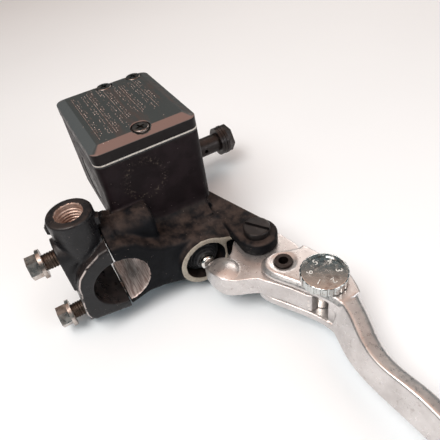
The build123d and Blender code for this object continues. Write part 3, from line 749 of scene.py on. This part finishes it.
def dial_digits():
    """Raised numbers round the dial's face."""
    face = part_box("adjuster_dial")[1].z - 0.40 * MM
    for index, digit in enumerate("123456"):
        angle = math.radians(-60 + 60 * index)
        curve = bpy.data.curves.new("digit_" + digit, "FONT")
        curve.body = digit
        curve.size = DIGIT_SIZE
        curve.extrude = 0.06 * MM
        curve.align_x = "CENTER"
        curve.align_y = "CENTER"
        text = bpy.data.objects.new("digit_work", curve)
        bpy.context.scene.collection.objects.link(text)
        graph = bpy.context.evaluated_depsgraph_get()
        mesh = bpy.data.meshes.new_from_object(text.evaluated_get(graph))
        bpy.data.objects.remove(text)
        spot = (DIAL.x + DIGIT_RING * math.cos(angle), DIAL.y + DIGIT_RING * math.sin(angle), face)
        mesh.transform(Matrix.Translation(spot) @ Matrix.Rotation(angle - math.pi / 2, 4, "Z"))
        new_object("dial_digit_" + digit, mesh, "dial", DIGIT)


casting()
holder()
mirror_thread()
clamp_bolt_threads()
cap()
cap_emboss()
boot()
coil()
lever()
dial_digits()


# ---------------------------------------------------------------- floor, light, camera

FLOOR_HALF = 4.0
TARGET = (0.02, 0.035, 0.01)
LIGHTS = (      # name, place, size, watts, colour
    ("key", (0.15, -0.25, 0.55), (0.35, 0.35), 3.2, (1.0, 0.97, 0.94)),
    ("side", (0.5, 0.25, 0.25), (0.3, 0.3), 1.0, (0.95, 0.97, 1.0)),
    ("back", (-0.35, 0.45, 0.4), (0.3, 0.2), 0.8, (1.0, 0.93, 0.88)),
)
DARK_BAND = (0.11, 0.15, 0.16, 1)
CEILING = (1.0, 0.68, 0.54, 1)
BACKDROP = (0.95, 0.93, 0.92, 1)
CAMERA_AT = (0.1351, -0.0074, 0.1291)
HEADING, TILT, ROLL = 157.27, -42.34, -10.01     # degrees
LENS = 36.88                                     # mm


def floor():
    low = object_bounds()[0].z
    mesh = bpy.data.meshes.new("floor")
    corners = [(x * FLOOR_HALF, y * FLOOR_HALF, low) for x, y in ((-1, -1), (1, -1), (1, 1), (-1, 1))]
    mesh.from_pydata(corners, [], [(0, 1, 2, 3)])
    obj = bpy.data.objects.new("floor", mesh)
    bpy.context.scene.collection.objects.link(obj)
    mesh.materials.append(FLOOR)
    obj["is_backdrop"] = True


def softbox(name, at, size, watts, colour):
    """Rectangular light that faces the part."""
    light = bpy.data.lights.new(name, "AREA")
    light.shape = "RECTANGLE"
    light.size, light.size_y = size
    light.energy = watts
    light.color = colour
    obj = bpy.data.objects.new(name, light)
    obj.location = at
    obj.rotation_euler = (Vector(TARGET) - Vector(at)).to_track_quat("-Z", "Y").to_euler()
    bpy.context.scene.collection.objects.link(obj)


def sky():
    """Studio surroundings: a dark band under a warm bright ceiling, which only reflections and light
    see.  The camera sees a plain pale backdrop."""
    world = bpy.data.worlds.new("studio")
    bpy.context.scene.world = world
    world.use_nodes = True
    tree = world.node_tree
    background = tree.nodes["Background"]
    place = tree.nodes.new("ShaderNodeTexCoord")
    split = tree.nodes.new("ShaderNodeSeparateXYZ")
    ramp = tree.nodes.new("ShaderNodeValToRGB")
    tree.links.new(place.outputs["Generated"], split.inputs[0])
    tree.links.new(split.outputs["Z"], ramp.inputs["Fac"])
    stops = ramp.color_ramp.elements
    stops[0].position, stops[0].color = 0.755, DARK_BAND
    stops[1].position, stops[1].color = 0.79, CEILING
    rays = tree.nodes.new("ShaderNodeLightPath")
    seen = tree.nodes.new("ShaderNodeMixRGB")
    tree.links.new(rays.outputs["Is Camera Ray"], seen.inputs["Fac"])
    tree.links.new(ramp.outputs["Color"], seen.inputs["Color1"])
    seen.inputs["Color2"].default_value = BACKDROP
    tree.links.new(seen.outputs["Color"], background.inputs["Color"])
    background.inputs["Strength"].default_value = 0.9


def camera():
    data = bpy.data.cameras.new("camera")
    data.lens = LENS
    data.sensor_width = 36.0
    data.clip_start, data.clip_end = 0.005, 20.0
    obj = bpy.data.objects.new("camera", data)
    bpy.context.scene.collection.objects.link(obj)
    bpy.context.scene.camera = obj
    h, t = math.radians(HEADING), math.radians(TILT)
    look = Vector((math.cos(h) * math.cos(t), math.sin(h) * math.cos(t), math.sin(t)))
    upright = look.to_track_quat("-Z", "Y").to_matrix().to_4x4()
    obj.matrix_world = Matrix.Translation(CAMERA_AT) @ upright @ Matrix.Rotation(math.radians(ROLL), 4, "Z")


floor()
sky()
for light in LIGHTS:
    softbox(*light)
camera()
bpy.context.scene.view_settings.view_transform = "Standard"
